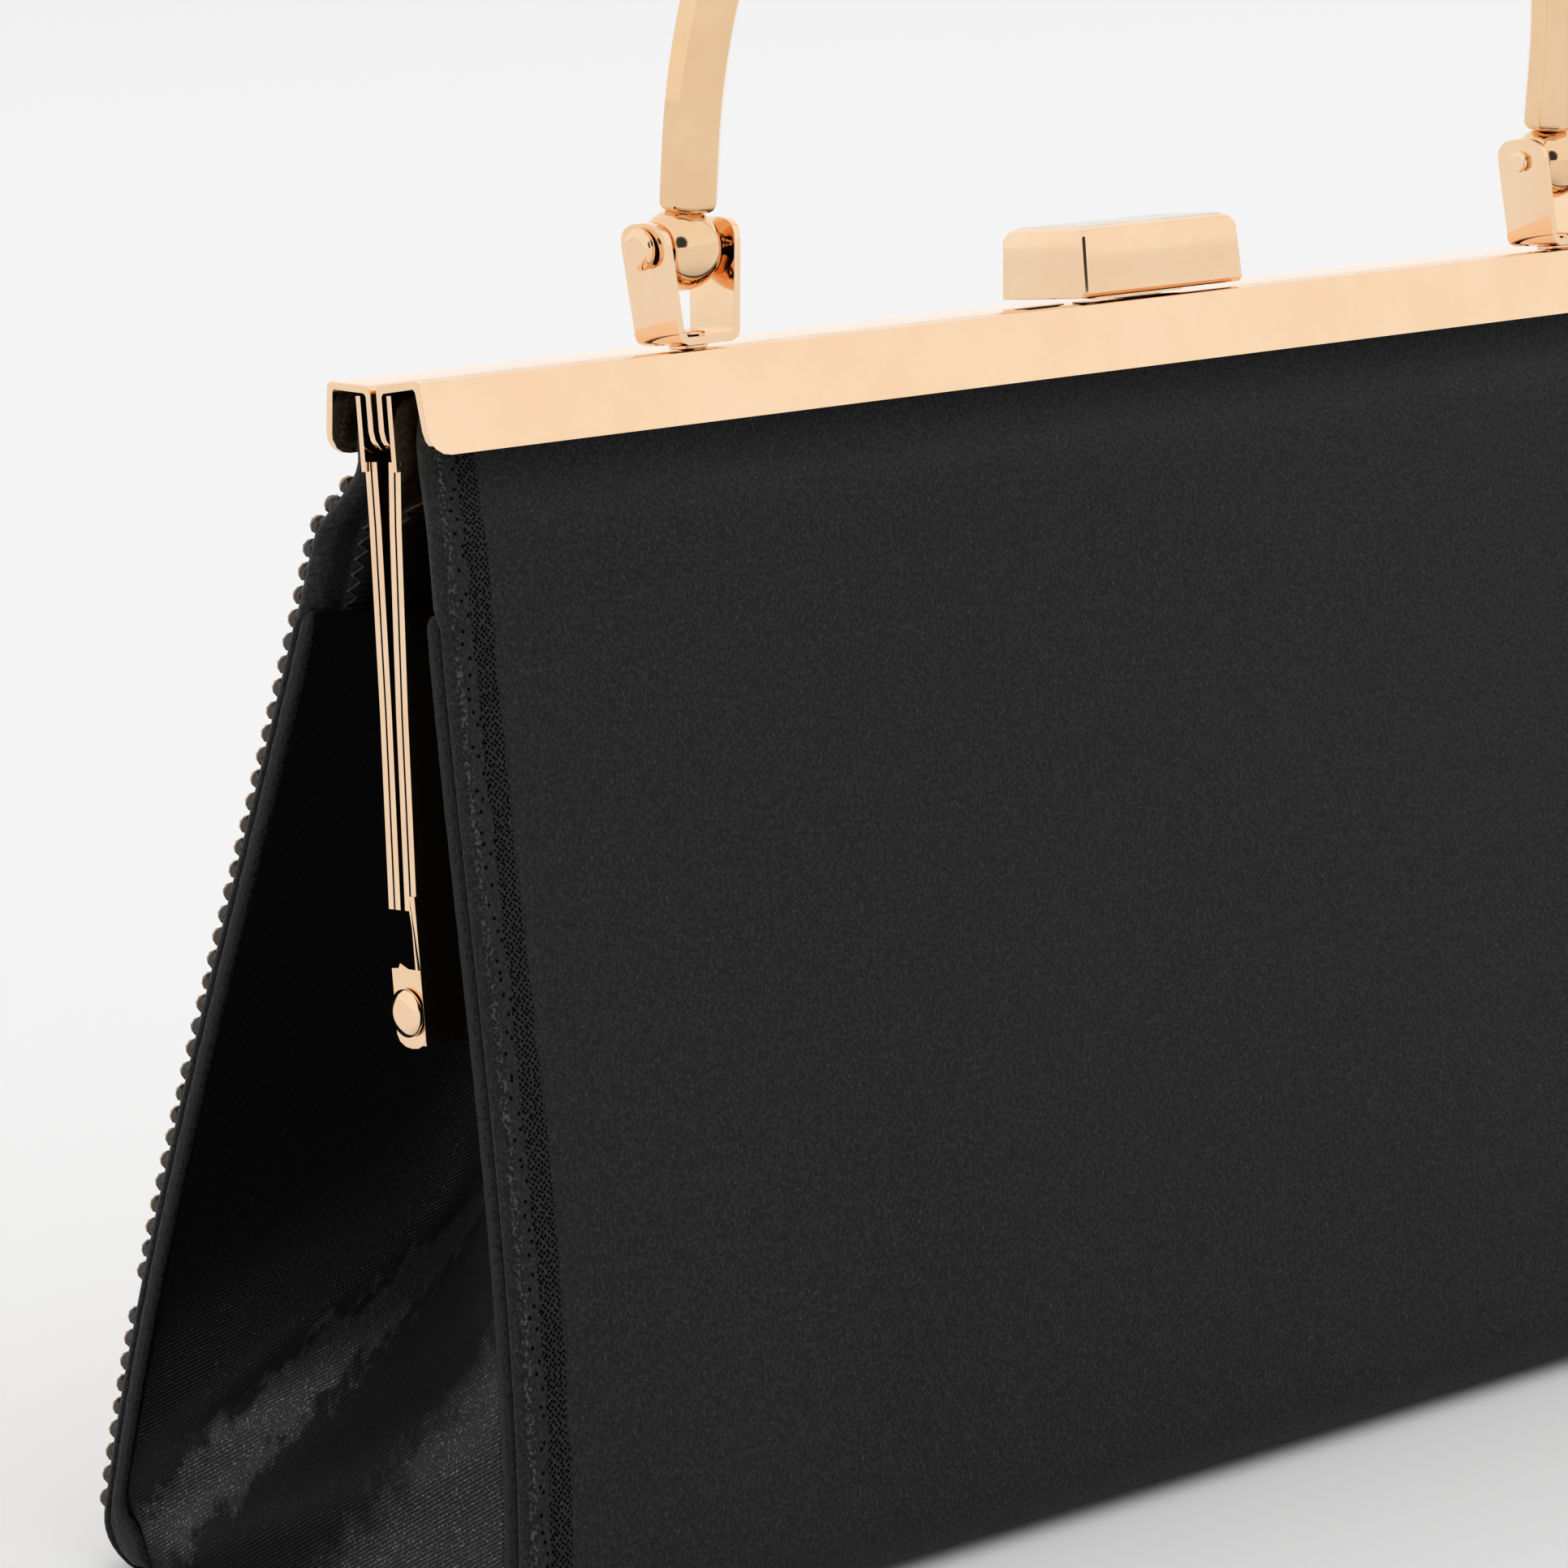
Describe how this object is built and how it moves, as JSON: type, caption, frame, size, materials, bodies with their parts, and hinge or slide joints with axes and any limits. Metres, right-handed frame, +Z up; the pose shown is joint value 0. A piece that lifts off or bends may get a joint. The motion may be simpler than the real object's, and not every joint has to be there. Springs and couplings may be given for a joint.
{
  "type": "clutch purse",
  "caption": "Framed clutch purse that opens on end hinges, with padded satin panels, a crystal-set front, a flip lock bar and a rigid hoop handle that swings on two brackets.",
  "frame": {"origin": "centre of the flat base the purse stands on, midway between the two halves of the frame", "axes": "+X along the frame, +Z up, -Y out of the crystal-set front, +Y out of the plain rear"},
  "size_m": [0.2392, 0.0717, 0.2033],
  "materials": {
    "rear_channel": "polished rose gold plate",
    "rear_arm_right": "polished rose gold plate",
    "rear_arm_left": "polished rose gold plate",
    "hinge_rivet_right": "polished rose gold plate",
    "hinge_rivet_left": "polished rose gold plate",
    "rear_panel": "black satin weave over padded board",
    "base_panel": "black satin weave over padded board",
    "front_panel_foot": "black satin weave over padded board",
    "crystal_field_foot": "faceted clear and amber crystals in fine cups",
    "gusset_right": "black satin weave over padded board",
    "gusset_left": "black satin weave over padded board",
    "rear_lining": "black fine-ribbed lining",
    "base_lining": "black fine-ribbed lining",
    "handle_bracket_right": "polished rose gold plate",
    "handle_bracket_left": "polished rose gold plate",
    "bracket_rivet_right": "polished rose gold plate",
    "bracket_rivet_left": "polished rose gold plate",
    "handle_pin_right": "polished rose gold plate",
    "handle_pin_left": "polished rose gold plate",
    "lock_base": "polished rose gold plate",
    "lock_spring": "spring steel, bright",
    "front_channel": "polished rose gold plate",
    "front_arm_right": "polished rose gold plate",
    "front_arm_left": "polished rose gold plate",
    "front_panel": "black satin weave over padded board",
    "crystal_field": "faceted clear and amber crystals in fine cups",
    "front_lining": "black fine-ribbed lining",
    "front_gusset_right": "black satin weave over padded board",
    "front_gusset_left": "black satin weave over padded board",
    "lock_keeper": "polished rose gold plate",
    "handle_arch": "polished rose gold plate",
    "handle_ball_right": "polished rose gold plate",
    "handle_ball_left": "polished rose gold plate",
    "lock_bar": "polished rose gold plate",
    "lock_pin": "spring steel, bright",
    "lock_catch": "spring steel, bright"
  },
  "bodies": {
    "rear_half": {"rear_channel": "rear_channel", "rear_arm_right": "rear_arm_right", "rear_arm_left": "rear_arm_left", "hinge_rivet_right": "hinge_rivet_right", "hinge_rivet_left": "hinge_rivet_left", "rear_panel": "rear_panel", "base_panel": "base_panel", "front_panel_foot": "front_panel_foot", "crystal_field_foot": "crystal_field_foot", "gusset_right": "gusset_right", "gusset_left": "gusset_left", "rear_lining": "rear_lining", "base_lining": "base_lining", "handle_bracket_right": "handle_bracket_right", "handle_bracket_left": "handle_bracket_left", "bracket_rivet_right": "bracket_rivet_right", "bracket_rivet_left": "bracket_rivet_left", "handle_pin_right": "handle_pin_right", "handle_pin_left": "handle_pin_left", "lock_base": "lock_base", "lock_spring": "lock_spring"},
    "front_half": {"front_channel": "front_channel", "front_arm_right": "front_arm_right", "front_arm_left": "front_arm_left", "front_panel": "front_panel", "crystal_field": "crystal_field", "front_lining": "front_lining", "front_gusset_right": "front_gusset_right", "front_gusset_left": "front_gusset_left", "lock_keeper": "lock_keeper"},
    "handle": {"handle_arch": "handle_arch", "handle_ball_right": "handle_ball_right", "handle_ball_left": "handle_ball_left"},
    "lock": {"lock_bar": "lock_bar", "lock_pin": "lock_pin", "lock_catch": "lock_catch"}
  },
  "joints": [
    {"name": "front_open", "type": "hinge", "parent": "rear_half", "child": "front_half", "pos_m": [0, 0, 0.057], "axis": [1, 0, 0], "range_deg": [0, 35]},
    {"name": "handle_swing", "type": "hinge", "parent": "rear_half", "child": "handle", "pos_m": [0, 0.0043, 0.1281], "axis": [1, 0, 0], "range_deg": [-105, 118]},
    {"name": "lock_lift", "type": "hinge", "parent": "rear_half", "child": "lock", "pos_m": [0, 0.00435, 0.1223], "axis": [-1, 0, 0], "range_deg": [0, 40], "stiffness_Nm_per_rad": 0.01, "springref_deg": -20.05}
  ]
}
